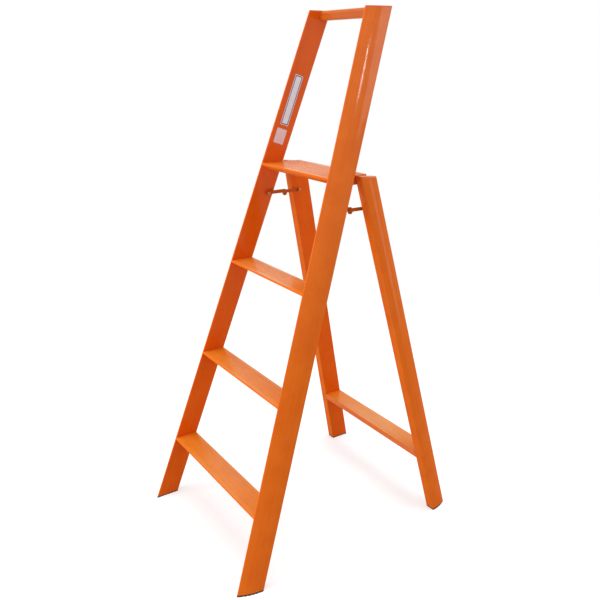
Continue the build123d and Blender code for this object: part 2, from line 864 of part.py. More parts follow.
# Rear links of the stays, slotted for the leg's stud
slide_along = [along for along, aside in slide_path()]
slide_aside = [aside for along, aside in slide_path()]
slot_hole = 2 * (slide_stud_radius + slide_fit)
slot_width = max(slide_aside) - min(slide_aside) + slot_hole
slot_length = max(slide_along) - min(slide_along) + slot_width
slot_middle = stay_link + (max(slide_along) + min(slide_along)) / 2
slot_height = (max(slide_aside) + min(slide_aside)) / 2
rear_bar = slot_width + 2 * stay_margin
rear_bar_end = slot_middle + slot_length / 2 + stay_margin
with BuildPart() as stay_rear_link:
    with BuildSketch(across(stay_knuckle_y, stay_z).offset(rear_link_x)):
        with Locations(((rear_bar_end - stay_eye) / 2, slot_height)):
            SlotOverall(rear_bar_end + stay_eye, rear_bar)
        Circle(stay_eye)
        Circle(knuckle_radius + stud_fit, mode=Mode.SUBTRACT)
        with Locations((slot_middle, slot_height)):
            SlotOverall(slot_length, slot_width, mode=Mode.SUBTRACT)
    extrude(amount=stay_thickness)
save_pair(stay_rear_link.part, "stay_rear_link")

# Knuckle pins, headed on both sides
with BuildPart() as knuckle_pin:
    rod(knuckle_radius, front_link_x, rear_link_x + stay_thickness + slide_fit, stay_knuckle_y, stay_z)
    head(knuckle_head_radius, knuckle_head, front_link_x, stay_knuckle_y, stay_z, -1)
    outer_head = rear_link_x + stay_thickness + slide_fit
    head(knuckle_head_radius, knuckle_head, outer_head, stay_knuckle_y, stay_z, 1)
save_pair(knuckle_pin.part, "knuckle_pin")


def stud(member, radius, link_x, y):
    """A shouldered stud in a member's inner wall, headed over the link that turns on it."""
    wall_x = member.inner_x(stay_z)
    head_x = link_x - slide_fit
    tail_x = wall_x + member.wall / cos(atan(member.draw)) + stud_tail_gap
    with BuildPart() as piece:
        rod(stud_shoulder, link_x + stay_thickness + slide_fit, wall_x + clear, y, stay_z)
        split(bisect_by=member.inner_plane(), keep=Keep.BOTTOM)
        rod(radius, head_x, tail_x, y, stay_z)
        head(stud_head_radius, stud_head, head_x, y, stay_z, -1)
        rod(stud_tail_radius, tail_x, tail_x + stud_tail, y, stay_z)
    return piece.part


save_pair(stud(stile, stud_radius, front_link_x, stay_stile_y), "stay_stile_stud")
save_pair(stud(leg, slide_stud_radius, rear_link_x, stay_leg_y), "stay_leg_stud")

print("hinge", hinge_y, hinge_z, "fold", fold_angle, "leg lean", degrees(atan(-leg_run)))
print("stay stud", stay_stile_y, stay_z, "knuckle", stay_knuckle_y, "leg stud", stay_leg_y)
print("slot", slot_length, slot_width, "link planes", front_link_x, rear_link_x)
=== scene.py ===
# A folding platform step ladder in orange powder-coated aluminium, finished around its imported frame.
import math

import bmesh
import bpy
from mathutils import Matrix, Vector


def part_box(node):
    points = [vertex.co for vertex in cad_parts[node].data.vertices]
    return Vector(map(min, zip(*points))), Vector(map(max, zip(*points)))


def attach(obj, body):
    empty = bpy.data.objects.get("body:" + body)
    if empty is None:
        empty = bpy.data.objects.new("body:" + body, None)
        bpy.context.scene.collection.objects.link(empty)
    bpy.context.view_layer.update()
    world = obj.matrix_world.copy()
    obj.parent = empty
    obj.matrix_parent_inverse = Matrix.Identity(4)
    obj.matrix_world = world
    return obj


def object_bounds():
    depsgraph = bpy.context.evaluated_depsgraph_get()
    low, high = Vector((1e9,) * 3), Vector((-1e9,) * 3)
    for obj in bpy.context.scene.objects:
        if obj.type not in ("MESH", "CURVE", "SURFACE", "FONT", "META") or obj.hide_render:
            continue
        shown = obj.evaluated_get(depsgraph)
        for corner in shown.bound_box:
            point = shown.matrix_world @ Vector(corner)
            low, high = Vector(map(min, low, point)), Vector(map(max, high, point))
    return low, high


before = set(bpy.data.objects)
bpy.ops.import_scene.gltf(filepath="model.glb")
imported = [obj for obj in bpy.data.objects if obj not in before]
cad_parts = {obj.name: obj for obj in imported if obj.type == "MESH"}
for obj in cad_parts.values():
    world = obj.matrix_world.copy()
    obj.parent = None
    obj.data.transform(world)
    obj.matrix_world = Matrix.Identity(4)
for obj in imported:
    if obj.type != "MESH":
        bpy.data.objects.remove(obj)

bl_info = {
    "name": "Platform Step Ladder",
    "version": (1, 0, 0),
    "blender": (4, 5, 0),
    "location": "View3D > Sidebar > Ladder",
    "description": "Finishes the pieces of a folding platform step ladder and sets up its studio stage",
    "category": "Object",
}

MM = 0.001
WHITE = (1.0, 1.0, 1.0, 1.0)
CAD_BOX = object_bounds()

# Directions in the ladder's frame, and the directions in which each side's inner faces look
CROSSWAYS = (1.0, 0.0, 0.0)
LENGTHWAYS = (0.0, 1.0, 0.0)
UPWARDS = (0.0, 0.0, 1.0)
SIDES = ("left", "right")
INWARDS = ((1.0, 0.0, 0.0), (-1.0, 0.0, 0.0))

# Width of the photograph's frame in pixels, and of the camera's sensor in millimetres
FRAME_WIDTH = 600
SENSOR_WIDTH = 36.0

# How far a vertex may lie from a level cut and still belong to it
CUT_SLACK = 0.01 * MM

# Distance from band to band of the Wave texture at a scale of one
WAVE_BAND = 2 * math.pi / 20

# Sockets of the colour Mix node
MIX_FACTOR, MIX_A, MIX_B, MIX_COLOUR = 0, 6, 7, 2

# Octaves of a noise texture, from a smooth pattern to a rough one
SMOOTH, SOFT, FINE, ROUGH = 1.0, 2.0, 3.0, 4.0

# Nearly all of a noise texture lies between these values
NOISE_RANGE = {"From Min": 0.3, "From Max": 0.7}

# Cosines between which a face comes to count as looking in a direction
FACE_RANGE = {"From Min": 0.8, "From Max": 0.96}

# Depth of a relief as a share of its pattern's size
RELIEF = 0.1

# Refractive indices of the coat's clear film, the plugs' plastic, the rubber, the nylon and the labels' film
FILM_IOR, PLASTIC_IOR, RUBBER_IOR, NYLON_IOR, VINYL_IOR = 1.5, 1.49, 1.52, 1.53, 1.54

# Places of the film and of its printed line among a label's materials
FILM_SLOT, LINE_SLOT = 0, 1

# Steps in which a label's corner is drawn, and the least share of its radius that its inner lines keep
CORNER_STEPS = 6
SHARPEST_CORNER = 0.2


def linear(code):
    """The linear colour, with full alpha, of an sRGB hex code."""
    channels = [int(code[i : i + 2], 16) / 255 for i in (0, 2, 4)]
    return (*[c / 12.92 if c <= 0.04045 else ((c + 0.055) / 1.055) ** 2.4 for c in channels], 1.0)


def colour(name, description, code):
    """A colour setting with its default given as an sRGB hex code."""
    return bpy.props.FloatVectorProperty(
        name=name, description=description, subtype="COLOR", size=4, min=0.0, max=1.0, default=linear(code)
    )


def length(name, description, millimetres):
    """A length setting with its default given in millimetres."""
    return bpy.props.FloatProperty(
        name=name, description=description, unit="LENGTH", precision=5, min=0.0, default=millimetres * MM
    )


def share(name, description, value):
    """A setting between nothing and all."""
    return bpy.props.FloatProperty(
        name=name, description=description, subtype="FACTOR", min=0.0, max=1.0, default=value
    )


def angle(name, description, degrees):
    """An angle setting with its default given in degrees."""
    return bpy.props.FloatProperty(
        name=name, description=description, subtype="ANGLE", default=math.radians(degrees)
    )


def power(name, description, watts):
    """A lamp's power setting."""
    return bpy.props.FloatProperty(name=name, description=description, unit="POWER", min=0.0, default=watts)


def place(name, description, metres):
    """A point in the ladder's frame."""
    return bpy.props.FloatVectorProperty(
        name=name, description=description, subtype="XYZ", unit="LENGTH", size=3, default=metres
    )


class LadderFinish(bpy.types.PropertyGroup):
    """Colours and surface sizes of the ladder's materials"""

    coat: colour("Coat", "Orange of the powder coat", "ea711d")
    coat_deep: colour("Coat, deep", "Orange where the powder lies thickest", "df6315")
    # The rail tones are painted shade: the rail is coated like the stiles and drawn darker for how it is lit.
    rail_painted_shade: colour("Rail coat", "Duller orange of the grip rail, rubbed by hands", "d26822")
    rail_painted_shade_deep: colour(
        "Rail coat, deep", "Orange of the grip rail where the powder lies thickest", "c65b19"
    )
    # The inner tones are painted shade: the stiles' and legs' inner faces take a redder, darker orange than
    # the coat.
    inner_painted_shade: colour(
        "Inner coat", "Redder orange of the stiles' and legs' inner faces, kept from the light", "ee6712"
    )
    inner_painted_shade_deep: colour(
        "Inner coat, deep", "Orange of the inner faces where the powder lies thickest", "e65a0d"
    )
    # The tread tones are painted light: the tops of the treads, platform and crossbar are paler and yellower,
    # as lit from above.
    tread_top_painted_light: colour("Tread coat", "Yellower orange of the treads, faded by light from above", "e08023")
    tread_top_painted_light_deep: colour(
        "Tread coat, deep", "Orange of the treads where the powder lies thickest", "d77417"
    )
    # The scuffed coat is partly wear and partly a painted pale sheen on the tops.
    coat_wear_and_sheen: colour("Scuffed coat", "Paler orange where shoes have rubbed the coat", "e8b181")
    coat_roughness: share("Coat roughness", "Gloss of the baked powder", 0.33)
    bar_film: share("Bar gloss", "How much of the bars' film mirrors light where nobody handles them", 0.08)
    stile_film: share(
        "Stile gloss", "How much of the stiles' film mirrors light where hands burnish it most", 0.5
    )
    leg_film: share("Leg gloss", "How much of the legs' film would mirror light at that height", 0.2)
    handled_from: length(
        "Handled from", "Height above the floor at which hands start to burnish the bars", 450.0
    )
    handled_full: length(
        "Handled most", "Height above the floor from which hands burnish the bars most", 1250.0
    )
    stile_haze: share("Stile haze", "How far the stiles' film blurs what it mirrors", 0.1)
    leg_haze: share("Leg haze", "How far the legs' film blurs what it mirrors", 0.15)
    tread_film: share(
        "Tread gloss", "How much of the treads' film is burnished by shoes and mirrors light", 0.6
    )
    edge_film: share("Tread edge gloss", "How much of the film on the treads' edges mirrors light", 0.1)
    crossbar_film: share(
        "Crossbar edge gloss", "How much of the film on the crossbar's edges mirrors light", 0.35
    )
    tread_haze: share("Tread haze", "How far the treads' burnished film blurs what it mirrors", 0.2)
    coat_streak: length("Die line width", "Width of the faint lines that the extrusion die leaves", 3.0)
    coat_run: length("Die line length", "How far a die line runs before it fades", 375.0)
    coat_cloud: length("Powder clouds", "Size of the patches where the powder lies thicker", 45.0)
    coat_peel: length("Orange peel", "Size of the ripples in the baked powder", 2.2)
    scuff_width: length("Scuff width", "Width of the marks that soles leave on the treads", 7.0)
    scuff_run: length("Scuff length", "Length of the marks that soles leave on the treads", 70.0)
    # These shares paint a pale sheen on the tops as well as wear.
    tread_wear_and_sheen: share("Tread wear", "How far the treads' tops are rubbed pale", 0.25)
    top_tread_wear_and_sheen: share("Top tread wear", "How far the top tread, trodden most, is rubbed pale", 0.6)
    platform_wear_and_sheen: share("Platform wear", "How far the platform's top is rubbed pale", 0.6)
    crossbar_wear_and_sheen: share("Crossbar wear", "How far the crossbar's top is rubbed pale", 0.5)
    # The stay tones are painted shade: the stays are drawn darker than the coat for the shade under the
    # platform.
    stay: colour("Stay coat", "Darker orange of the coated steel stays", "c8601f")
    stay_deep: colour("Stay coat, deep", "Darkest orange of the coated steel stays", "b04f16")
    plastic: colour("Plug plastic", "Orange of the moulded caps and heads", "e3681e")
    # The plug tops' tone is painted light: the tops are paler, as lit from above.
    painted_light_plastic_top: colour(
        "Plug tops", "Paler orange of the caps' and heads' tops, faded by light from above", "e3843a"
    )
    plastic_grain: length("Mould grain", "Size of the grain that the mould leaves", 0.9)
    plastic_flow: length("Flow marks", "Size of the cloudy marks where the melt flowed", 22.0)
    rubber: colour("Rubber", "Near-black of the feet", "241712")
    rubber_grain: length("Rubber grain", "Size of the rubber's moulded grain", 1.1)
    dust: colour("Dust", "Dust that settles in the rubber's grain", "6a564a")
    dust_patch: length("Dust patches", "Size of the patches of dust", 11.0)
    zinc: colour("Zinc plate", "Brassy brown of the plated and passivated studs and axle", "b87a54")
    zinc_roughness: share("Zinc roughness", "How far the plate blurs what it mirrors", 0.55)
    zinc_grain: length("Zinc grain", "Size of the plate's grain", 0.6)
    aluminium: colour("Mill aluminium", "Bare metal of the brackets and rivets", "c9c8c6")
    mill_roughness: share("Mill roughness", "How far the rolled metal blurs what it mirrors", 0.4)
    mill_grain: length("Mill grain", "Size of the rolled metal's grain", 1.2)
    rivet_roughness: share("Rivet roughness", "How far the set rivets blur what they mirror", 0.28)
    rivet_grain: length("Rivet grain", "Size of the drawn rivet wire's grain", 0.5)
    metal_bloom: length("Metal bloom", "Size of the cloudy patches on bare and plated metal", 6.0)
    nylon: colour("Nylon", "Natural nylon of the hinge bushes", "e4ddcc")
    nylon_feed: length("Turning feed", "Spacing of the marks that the lathe leaves", 1.2)
    vinyl: colour("Label film", "Face of the long blank label", "f3f2fc")
    vinyl_border: colour("Label border", "Printed line round the long blank label", "3c3a66")
    vinyl_pink: colour("Small label film", "Face of the small blank label", "f3d6da")
    vinyl_quilt: length("Film quilting", "Size of the dimples where the glue lies uneven", 4.5)
    vinyl_soil: length("Film soil", "Size of the patches dulled by handling", 16.0)


class LadderLabels(bpy.types.PropertyGroup):
    """Sizes and places of the blank labels on the left stile"""

    long_width: length("Long label width", "Across the stile", 23.8)
    long_height: length("Long label length", "Along the stile", 127.0)
    long_rise: length("Long label height", "Height of its middle above the floor", 1084.5)
    long_offset: length("Long label offset", "From the stile's middle towards its front edge", 1.3)
    small_width: length("Small label width", "Across the stile", 30.0)
    small_height: length("Small label length", "Along the stile", 38.0)
    small_rise: length("Small label height", "Height of its middle above the floor", 997.3)
    small_offset: length("Small label offset", "From the stile's middle towards its front edge", 2.2)
    thickness: length("Film thickness", "Thickness of the film and its glue", 0.25)
    corner: length("Corner radius", "Rounding of the corners", 2.0)
    margin: length("Margin", "From the edge to the printed line", 1.6)
    line: length("Printed line", "Width of the printed line", 2.2)


class LadderStage(bpy.types.PropertyGroup):
    """Camera, lamps and floor"""

    eye: place("Camera", "Where the camera stands", (1.401249, -0.942248, 1.191140))
    azimuth: angle("Azimuth", "Turn of the camera about the ladder, from straight in front", 56.133)
    elevation: angle("Elevation", "How far the camera looks down", 19.274)
    roll: angle("Roll", "Tilt of the camera's horizon", 0.091)
    focal_pixels: bpy.props.FloatProperty(
        name="Focal length", description="In pixels of the 600 wide frame", subtype="PIXEL", default=698.641
    )
    key_place: place("Key softbox", "Large soft lamp in front and above", (-0.4, -2.75, 1.25))
    key_size: length("Key size", "Side of the square key softbox", 1800.0)
    key_power: power("Key power", "Power of the key softbox", 46.0)
    top_place: place("Overhead softbox", "Large soft lamp over the ladder", (0.1, 0.1, 6.0))
    top_size: length("Overhead size", "Side of the square overhead softbox", 3000.0)
    top_power: power("Overhead power", "Power of the overhead softbox", 165.0)
    sheen_place: place(
        "Sheen softbox", "Soft lamp mirrored in the right stile's upper part", (2.3, 1.3, 1.8)
    )
    sheen_size: length("Sheen size", "Side of the square sheen softbox", 900.0)
    sheen_power: power("Sheen power", "Power of the sheen softbox", 6.5)
    glint_place: place(
        "Glint lamp", "Small lamp that draws a line of light on the right stile", (2.21, 0.28, 1.87)
    )
    glint_width: length("Glint width", "Width of the glint lamp", 50.0)
    glint_height: length("Glint height", "Height of the glint lamp", 270.0)
    glint_power: power("Glint power", "Power of the glint lamp", 2.2)
    strip_place: place(
        "Strip lamp", "Slim lamp that draws a stripe on the right rear leg", (1.11, 2.43, 0.5)
    )
    strip_width: length("Strip width", "Width of the strip lamp", 420.0)
    strip_height: length("Strip height", "Height of the strip lamp", 900.0)
    strip_power: power("Strip power", "Power of the strip lamp", 5.5)
    room: share("Room light", "Level of the even light from all round", 0.5)
    floor: colour("Floor", "Pale matt floor", "cccccc")
    floor_glow: share("Floor lift", "How far the floor is lifted towards white for the eye", 0.52)
    floor_speckle: length("Floor speckle", "Size of the faint speckle in the floor's paint", 25.0)
    floor_near: length("Floor shade", "How far from the middle the floor keeps its shade", 1000.0)
    floor_far: length("Floor white", "How far from the middle the floor turns plain white", 3000.0)
    floor_reach: length("Floor reach", "Half the side of the floor", 40000.0)


def add(tree, kind, inputs=None, **settings):
    """Add a shader node, with its settings, and fill its sockets with values or with other nodes' outputs."""
    node = tree.nodes.new("ShaderNode" + kind)
    for name, value in settings.items():
        setattr(node, name, value)
    for socket, value in (inputs or {}).items():
        if isinstance(value, bpy.types.NodeSocket):
            tree.links.new(value, node.inputs[socket])
        else:
            node.inputs[socket].default_value = value
    return node


def blank_material(name):
    """A material with an empty node tree."""
    material = bpy.data.materials.new(name)
    material.use_nodes = True
    material.node_tree.nodes.clear()
    return material, material.node_tree


def finish_settings():
    """The colours and surface sizes that the user has set."""
    return bpy.context.scene.ladder_finish


def cover(material, *nodes):
    """Give CAD nodes a material."""
    for name in nodes:
        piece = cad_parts[name]
        for slot in piece.material_slots:
            slot.material = material


def pair(name):
    """Names of a piece's left and right node."""
    return [f"{name}_{side}" for side in SIDES]


def middle(node):
    """Middle of a CAD node's box."""
    low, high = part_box(node)
    return (Vector(low) + Vector(high)) / 2


def bar_direction(lower, upper):
    """Direction of a bar from the plug in its lower end to the plug in its upper end."""
    return (middle(upper) - middle(lower)).normalized()


def seen_rays(tree):
    """One for rays by which the eye sees the background, straight, mirrored or through glass, else nought."""
    path = add(tree, "LightPath").outputs
    mirrored = add(
        tree, "Math", {0: path["Is Camera Ray"], 1: path["Is Glossy Ray"]}, operation="MAXIMUM"
    ).outputs[0]
    return add(tree, "Math", {0: mirrored, 1: path["Is Transmission Ray"]}, operation="MAXIMUM").outputs[0]


def drawn_out(tree, point, along, width, run):
    """Points squeezed along a direction, so that a pattern of one width runs on for a longer length there."""
    position = add(tree, "VectorMath", {0: point, 1: along}, operation="DOT_PRODUCT").outputs["Value"]
    squeeze = add(tree, "Math", {0: position, 1: width / run - 1}, operation="MULTIPLY").outputs[0]
    shift = add(tree, "VectorMath", {0: along, "Scale": squeeze}, operation="SCALE").outputs[0]
    return add(tree, "VectorMath", {0: point, 1: shift}, operation="ADD").outputs[0]


def looks_towards(tree, normal, direction):
    """One where the surface looks in a direction, nought where it looks well aside."""
    turned = add(tree, "VectorMath", {0: normal, 1: direction}, operation="DOT_PRODUCT").outputs["Value"]
    return add(tree, "MapRange", {"Value": turned, **FACE_RANGE}).outputs["Result"]


def wear_and_sheen_marks(tree, point, along, face, worn, half):
    """How far shoes have rubbed a tread's face, with a painted pale sheen: in long marks, most in the middle
    and not at the ends.
    """
    # Noise at which a mark begins and is full, and the share of the wear and painted sheen where there is no
    # mark
    begins, full, elsewhere = 0.35, 0.7, 0.5
    # Share of the half length over which the wear is full
    well_trodden = 0.1
    finish = finish_settings()
    rubbed = add(
        tree,
        "TexNoise",
        {
            "Vector": drawn_out(tree, point, along, finish.scuff_width, finish.scuff_run),
            "Scale": 1 / finish.scuff_width,
            "Detail": ROUGH,
        },
    ).outputs["Fac"]
    marks = add(
        tree,
        "MapRange",
        {"Value": rubbed, "From Min": begins, "From Max": full, "To Min": elsewhere * worn, "To Max": worn},
    ).outputs["Result"]
    across = add(tree, "VectorMath", {0: point, 1: along}, operation="DOT_PRODUCT").outputs["Value"]
    aside = add(tree, "Math", {0: across}, operation="ABSOLUTE").outputs[0]
    trodden = add(
        tree,
        "MapRange",
        {"Value": aside, "From Min": well_trodden * half, "From Max": half, "To Min": 1.0, "To Max": 0.0},
        interpolation_type="SMOOTHSTEP",
    ).outputs["Result"]
    reach = add(tree, "Math", {0: face, 1: trodden}, operation="MULTIPLY").outputs[0]
    return add(tree, "Math", {0: marks, 1: reach}, operation="MULTIPLY").outputs[0]


def powder_coat(name, along, film, tones, facing=None, face_tones=None, worn=0.0, half=0.0):
    """Polyester powder coat in two tones, baked on a bar that lies along a direction, under a burnished film.

    The film has a weight, its least weight and a haze. The face that looks in the facing direction has two
    other tones, which are painted light on tops and painted shade on inner faces. A worn coat is rubbed
    pale on that face by shoes and painted with a pale sheen, least at its ends, which lie half its length
    from the ladder's middle, and its film mirrors most on that face. Any other coat is burnished by hands,
    most at the top.
    """
    # Matt pigment under a satin film, with a faint ripple like orange peel, and die lines that show through
    # as soft lengthwise streaks. All the gloss is the film's, so faces that nobody touches keep their full
    # colour. The ripple and the lines are finer on the real bar and are drawn coarser here so that they show.
    # Where shoes have rubbed it, the coat is paler and duller in long soft marks, which also paint a pale
    # sheen on the tops.
    weight, least, haze = film
    # Sums of two noises at which the powder lies thin and thick, and the deep tone's share where thick
    thin, thick, deepest = 0.75, 1.25, 0.7
    line_relief, ripple_relief = 0.05, 0.006
    scuff_roughness = 0.15
    finish = finish_settings()
    smoothest, roughest = finish.coat_roughness - 0.04, finish.coat_roughness + 0.06
    material, tree = blank_material(name)
    coordinates = add(tree, "TexCoord").outputs
    point = coordinates["Object"]
    drawn = drawn_out(tree, point, along, finish.coat_streak, finish.coat_run)
    streaks = add(
        tree, "TexNoise", {"Vector": drawn, "Scale": 1 / finish.coat_streak, "Detail": FINE}
    ).outputs["Fac"]
    clouds = add(
        tree, "TexNoise", {"Vector": point, "Scale": 1 / finish.coat_cloud, "Detail": SOFT}
    ).outputs["Fac"]
    peel = add(
        tree, "TexNoise", {"Vector": point, "Scale": 1 / finish.coat_peel, "Detail": SMOOTH}
    ).outputs["Fac"]
    mottle = add(tree, "Math", {0: streaks, 1: clouds}, operation="ADD").outputs[0]
    depth = add(
        tree, "MapRange", {"Value": mottle, "From Min": thin, "From Max": thick, "To Max": deepest}
    ).outputs["Result"]
    tone = add(
        tree, "Mix", {MIX_FACTOR: depth, MIX_A: tones[0], MIX_B: tones[1]}, data_type="RGBA"
    ).outputs[MIX_COLOUR]
    roughness = add(
        tree, "MapRange", {"Value": streaks, **NOISE_RANGE, "To Min": smoothest, "To Max": roughest}
    ).outputs["Result"]
    if facing:
        # The face tones are painted light on the tops and painted shade on the inner faces.
        face = looks_towards(tree, coordinates["Normal"], facing)
        face_tone = add(
            tree, "Mix", {MIX_FACTOR: depth, MIX_A: face_tones[0], MIX_B: face_tones[1]}, data_type="RGBA"
        ).outputs[MIX_COLOUR]
        tone = add(
            tree, "Mix", {MIX_FACTOR: face, MIX_A: tone, MIX_B: face_tone}, data_type="RGBA"
        ).outputs[MIX_COLOUR]
    if worn:
        # Pale marks of wear and painted sheen
        scuff = wear_and_sheen_marks(tree, point, along, face, worn, half)
        tone = add(
            tree, "Mix", {MIX_FACTOR: scuff, MIX_A: tone, MIX_B: finish.coat_wear_and_sheen}, data_type="RGBA"
        ).outputs[MIX_COLOUR]
        roughness = add(
            tree, "Math", {0: scuff, 1: scuff_roughness, 2: roughness}, operation="MULTIPLY_ADD"
        ).outputs[0]
        burnish, burnish_range = face, {}
    else:
        burnish = add(tree, "SeparateXYZ", {0: point}).outputs["Z"]
        burnish_range = {"From Min": finish.handled_from, "From Max": finish.handled_full}
    mirroring = add(
        tree, "MapRange", {"Value": burnish, **burnish_range, "To Min": least, "To Max": weight}
    ).outputs["Result"]
    rippled_film = add(
        tree, "Bump", {"Height": peel, "Strength": ripple_relief, "Distance": RELIEF * finish.coat_peel}
    ).outputs["Normal"]
    lined_pigment = add(
        tree, "Bump", {"Height": streaks, "Strength": line_relief, "Distance": RELIEF * finish.coat_streak}
    ).outputs["Normal"]
    shader = add(
        tree,
        "BsdfPrincipled",
        {
            "Base Color": tone,
            "Roughness": roughness,
            "Specular IOR Level": 0.0,
            "Coat Weight": mirroring,
            "Coat Roughness": haze,
            "Coat IOR": FILM_IOR,
            "Normal": lined_pigment,
            "Coat Normal": rippled_film,
        },
    ).outputs[0]
    add(tree, "OutputMaterial", {"Surface": shader})
    return material


def moulded_polypropylene():
    """Injection-moulded polypropylene, coloured through."""
    # A little duller and softer than the coat, with the fine even grain of an eroded mould, and painted light
    # on top, where it is paler.
    # The grain is finer on the real plugs and is drawn coarser here so that it shows.
    darkest, lightest = 0.9, 1.06
    smoothest, roughest = 0.4, 0.52
    grain_relief = 0.08
    finish = finish_settings()
    material, tree = blank_material("moulded_polypropylene")
    coordinates = add(tree, "TexCoord").outputs
    point = coordinates["Object"]
    grain = add(
        tree, "TexNoise", {"Vector": point, "Scale": 1 / finish.plastic_grain, "Detail": SOFT}
    ).outputs["Fac"]
    flow = add(
        tree, "TexNoise", {"Vector": point, "Scale": 1 / finish.plastic_flow, "Detail": SOFT}
    ).outputs["Fac"]
    shade = add(
        tree, "MapRange", {"Value": flow, **NOISE_RANGE, "To Min": darkest, "To Max": lightest}
    ).outputs["Result"]
    # Painted light: tops looking upwards take the paler tone
    top = looks_towards(tree, coordinates["Normal"], UPWARDS)
    lit_top_tone = add(
        tree, "Mix", {MIX_FACTOR: top, MIX_A: finish.plastic, MIX_B: finish.painted_light_plastic_top}, data_type="RGBA"
    ).outputs[MIX_COLOUR]
    tone = add(tree, "HueSaturation", {"Value": shade, "Color": lit_top_tone}).outputs["Color"]
    roughness = add(
        tree, "MapRange", {"Value": grain, **NOISE_RANGE, "To Min": smoothest, "To Max": roughest}
    ).outputs["Result"]
    texture = add(
        tree, "Bump", {"Height": grain, "Strength": grain_relief, "Distance": RELIEF * finish.plastic_grain}
    ).outputs["Normal"]
    shader = add(
        tree,
        "BsdfPrincipled",
        {"Base Color": tone, "Roughness": roughness, "IOR": PLASTIC_IOR, "Normal": texture},
    ).outputs[0]
    add(tree, "OutputMaterial", {"Surface": shader})
    return material


def vulcanised_rubber():
    """Black rubber pressed in a hot mould."""
    # Matt and near black, with a coarse grain that holds pale dust.
    # The grain is finer on the real feet and is drawn coarser here so that it shows.
    roughness, sheen = 0.72, 0.3
    grain_relief, grain_depth = 0.3, 0.2
    # Products of two noises at which the rubber is clean and dustiest, and the dust's share where dustiest
    clean, dustiest, most_dust = 0.2, 0.42, 0.35
    finish = finish_settings()
    material, tree = blank_material("vulcanised_rubber")
    point = add(tree, "TexCoord").outputs["Object"]
    grain = add(
        tree, "TexNoise", {"Vector": point, "Scale": 1 / finish.rubber_grain, "Detail": FINE}
    ).outputs["Fac"]
    patches = add(
        tree, "TexNoise", {"Vector": point, "Scale": 1 / finish.dust_patch, "Detail": ROUGH}
    ).outputs["Fac"]
    dusty = add(tree, "Math", {0: grain, 1: patches}, operation="MULTIPLY").outputs[0]
    amount = add(
        tree, "MapRange", {"Value": dusty, "From Min": clean, "From Max": dustiest, "To Max": most_dust}
    ).outputs["Result"]
    tone = add(
        tree, "Mix", {MIX_FACTOR: amount, MIX_A: finish.rubber, MIX_B: finish.dust}, data_type="RGBA"
    ).outputs[MIX_COLOUR]
    texture = add(
        tree,
        "Bump",
        {"Height": grain, "Strength": grain_relief, "Distance": grain_depth * finish.rubber_grain},
    ).outputs["Normal"]
    shader = add(
        tree,
        "BsdfPrincipled",
        {
            "Base Color": tone,
            "Roughness": roughness,
            "IOR": RUBBER_IOR,
            "Specular IOR Level": sheen,
            "Normal": texture,
        },
    ).outputs[0]
    add(tree, "OutputMaterial", {"Surface": shader})
    return material


def bare_metal(name, tint, blur, grain):
    """A bare or plated metal with a middling roughness and a fine grain of a size in metres."""
    # Softly bright, with a cloudy bloom and a fine grain that spreads the highlights.
    # The grain is finer on the real metal and is drawn coarser here so that it shows.
    darkest, lightest = 0.82, 1.05
    smoothest, roughest = blur - 0.08, blur + 0.1
    grain_relief = 0.12
    finish = finish_settings()
    material, tree = blank_material(name)
    point = add(tree, "TexCoord").outputs["Object"]
    fine = add(tree, "TexNoise", {"Vector": point, "Scale": 1 / grain, "Detail": FINE}).outputs["Fac"]
    bloom = add(
        tree, "TexNoise", {"Vector": point, "Scale": 1 / finish.metal_bloom, "Detail": SOFT}
    ).outputs["Fac"]
    shade = add(
        tree, "MapRange", {"Value": bloom, **NOISE_RANGE, "To Min": darkest, "To Max": lightest}
    ).outputs["Result"]
    tone = add(tree, "HueSaturation", {"Value": shade, "Color": tint}).outputs["Color"]
    roughness = add(
        tree, "MapRange", {"Value": fine, **NOISE_RANGE, "To Min": smoothest, "To Max": roughest}
    ).outputs["Result"]
    texture = add(
        tree, "Bump", {"Height": fine, "Strength": grain_relief, "Distance": RELIEF * grain}
    ).outputs["Normal"]
    shader = add(
        tree,
        "BsdfPrincipled",
        {"Base Color": tone, "Metallic": 1.0, "Roughness": roughness, "Normal": texture},
    ).outputs[0]
    add(tree, "OutputMaterial", {"Surface": shader})
    return material


def turned_nylon():
    """Natural nylon, turned from bar."""
    # Creamy and slightly see-through, with fine turning marks.
    # The marks lie closer on the real bush and are drawn wider apart here so that they show.
    darkest, lightest = 0.93, 1.03
    mark_relief, mark_waver = 0.1, 0.6
    roughness, clearness, seen_depth = 0.42, 0.15, 2 * MM
    finish = finish_settings()
    material, tree = blank_material("turned_nylon")
    point = add(tree, "TexCoord").outputs["Object"]
    marks = add(
        tree,
        "TexWave",
        {"Vector": point, "Scale": WAVE_BAND / finish.nylon_feed, "Distortion": mark_waver},
        bands_direction="X",
    ).outputs["Fac"]
    shade = add(tree, "MapRange", {"Value": marks, "To Min": darkest, "To Max": lightest}).outputs["Result"]
    tone = add(tree, "HueSaturation", {"Value": shade, "Color": finish.nylon}).outputs["Color"]
    texture = add(
        tree, "Bump", {"Height": marks, "Strength": mark_relief, "Distance": RELIEF * finish.nylon_feed}
    ).outputs["Normal"]
    shader = add(
        tree,
        "BsdfPrincipled",
        {
            "Base Color": tone,
            "Roughness": roughness,
            "IOR": NYLON_IOR,
            "Subsurface Weight": clearness,
            "Subsurface Scale": seen_depth,
            "Normal": texture,
        },
    ).outputs[0]
    add(tree, "OutputMaterial", {"Surface": shader})
    return material


